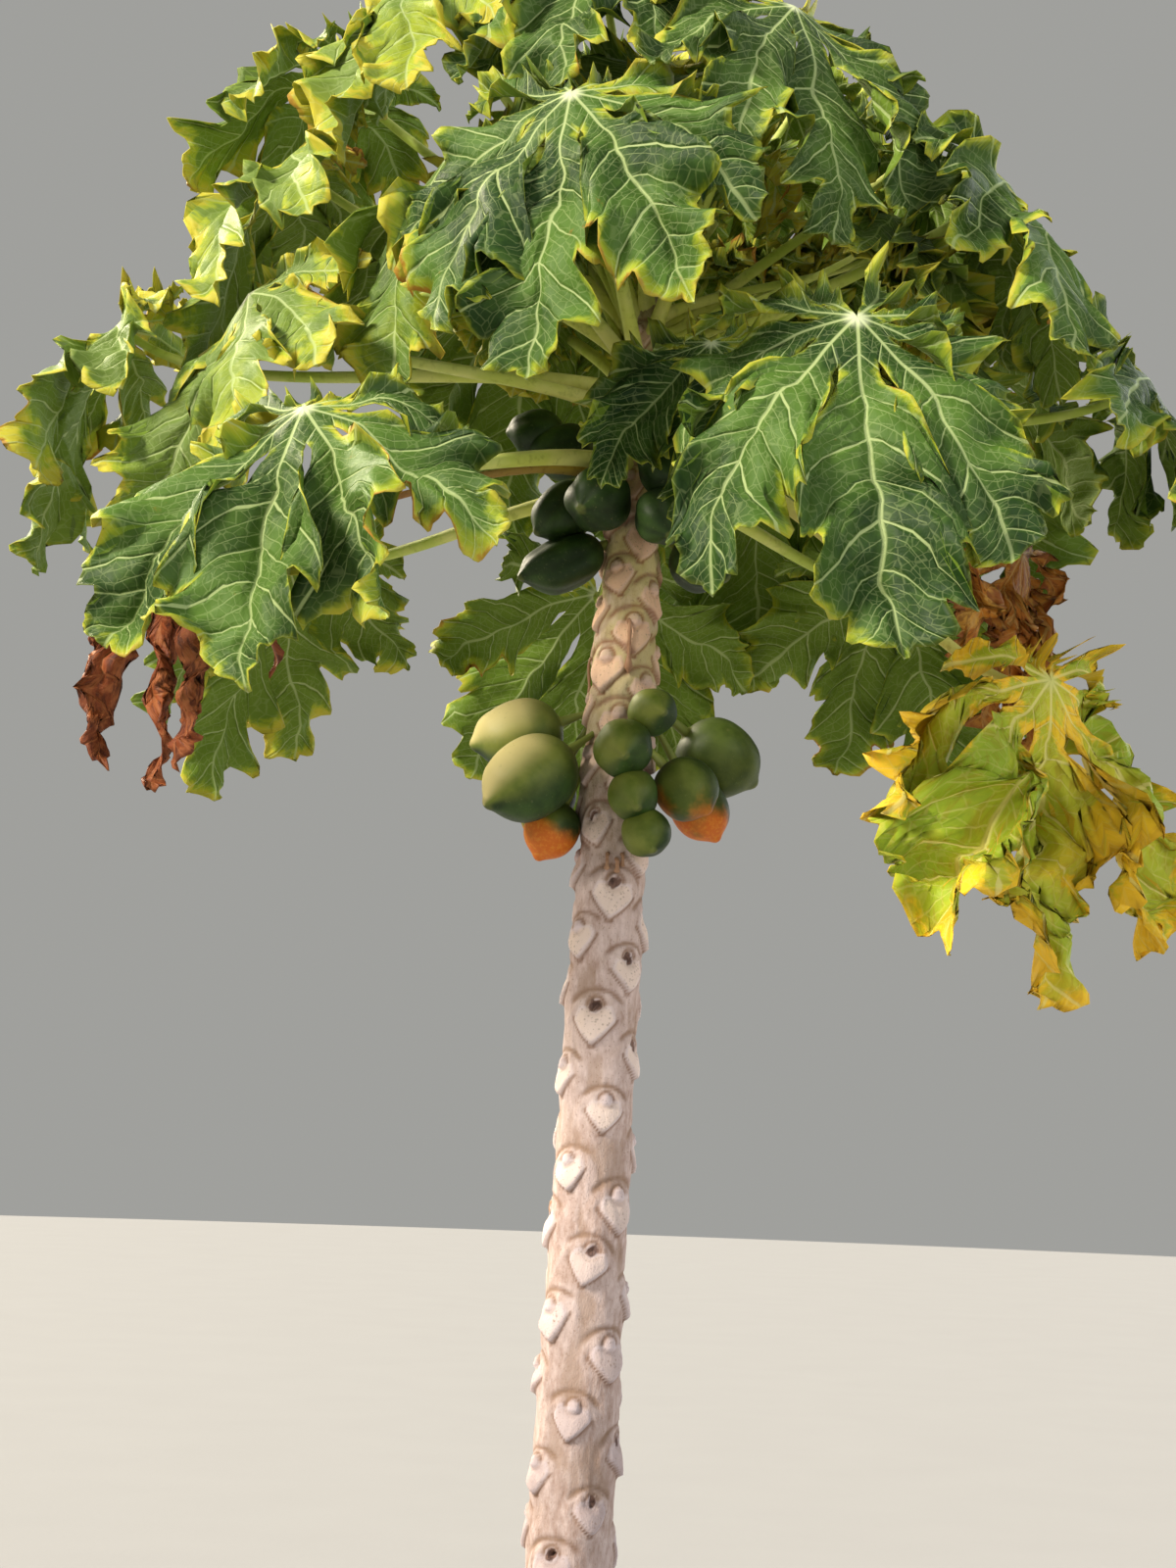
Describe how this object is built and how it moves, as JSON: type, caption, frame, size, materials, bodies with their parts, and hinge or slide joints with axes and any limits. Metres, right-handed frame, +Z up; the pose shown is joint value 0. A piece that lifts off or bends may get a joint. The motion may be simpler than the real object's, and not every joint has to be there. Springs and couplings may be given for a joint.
{
  "type": "papaya tree",
  "caption": "Fruiting papaya tree with a leaning scarred trunk, a domed crown of palmate leaves on long stalks, and fruit clustered below the crown.",
  "frame": {"origin": "centre of the flat cut under the trunk, at ground level", "axes": "+Z up the trunk; the usual view looks along +Y, with +X to its right, the way the trunk leans"},
  "size_m": [1.9251, 1.4974, 3.4873],
  "materials": {
    "bark": "pale pinkish bark with raised leaf scars, matt",
    "petiole": "smooth pale green stalk, satin",
    "leaf": "green leaf with pale veins and yellowing rim, satin",
    "leaf_yellow": "yellow dying leaf, matt",
    "leaf_withered": "orange-brown withered leaf, matt",
    "leaf_dead": "brown dead leaf, matt",
    "fruit_green": "dark green unripe skin, satin",
    "fruit_pale": "pale green skin, satin",
    "fruit_ripe": "green skin turning orange, satin"
  },
  "bodies": {
    "root": {"blade_01": "leaf_dead", "blade_02": "leaf_withered", "blade_03": "leaf_yellow", "blade_04": "leaf", "blade_05": "leaf", "blade_06": "leaf", "blade_07": "leaf", "blade_08": "leaf", "blade_09": "leaf", "blade_10": "leaf", "blade_11": "leaf", "blade_12": "leaf", "blade_13": "leaf", "blade_14": "leaf", "blade_15": "leaf", "blade_16": "leaf", "blade_17": "leaf", "blade_18": "leaf", "blade_19": "leaf", "blade_20": "leaf", "blade_21": "leaf", "blade_22": "leaf", "blade_23": "leaf", "blade_24": "leaf", "blade_25": "leaf", "blade_26": "leaf", "fruit_lower_1": "fruit_pale", "fruit_lower_2": "fruit_green", "fruit_lower_3": "fruit_ripe", "fruit_upper_1": "fruit_green", "fruit_upper_2": "fruit_green", "fruit_upper_3": "fruit_green", "fruit_upper_4": "fruit_green", "petiole_01": "petiole", "petiole_02": "petiole", "petiole_03": "petiole", "petiole_04": "petiole", "petiole_05": "petiole", "petiole_06": "petiole", "petiole_07": "petiole", "petiole_08": "petiole", "petiole_09": "petiole", "petiole_10": "petiole", "petiole_11": "petiole", "petiole_12": "petiole", "petiole_13": "petiole", "petiole_14": "petiole", "petiole_15": "petiole", "petiole_16": "petiole", "petiole_17": "petiole", "petiole_18": "petiole", "petiole_19": "petiole", "petiole_20": "petiole", "petiole_21": "petiole", "petiole_22": "petiole", "petiole_23": "petiole", "petiole_24": "petiole", "petiole_25": "petiole", "petiole_26": "petiole", "trunk": "bark"}
  },
  "joints": []
}
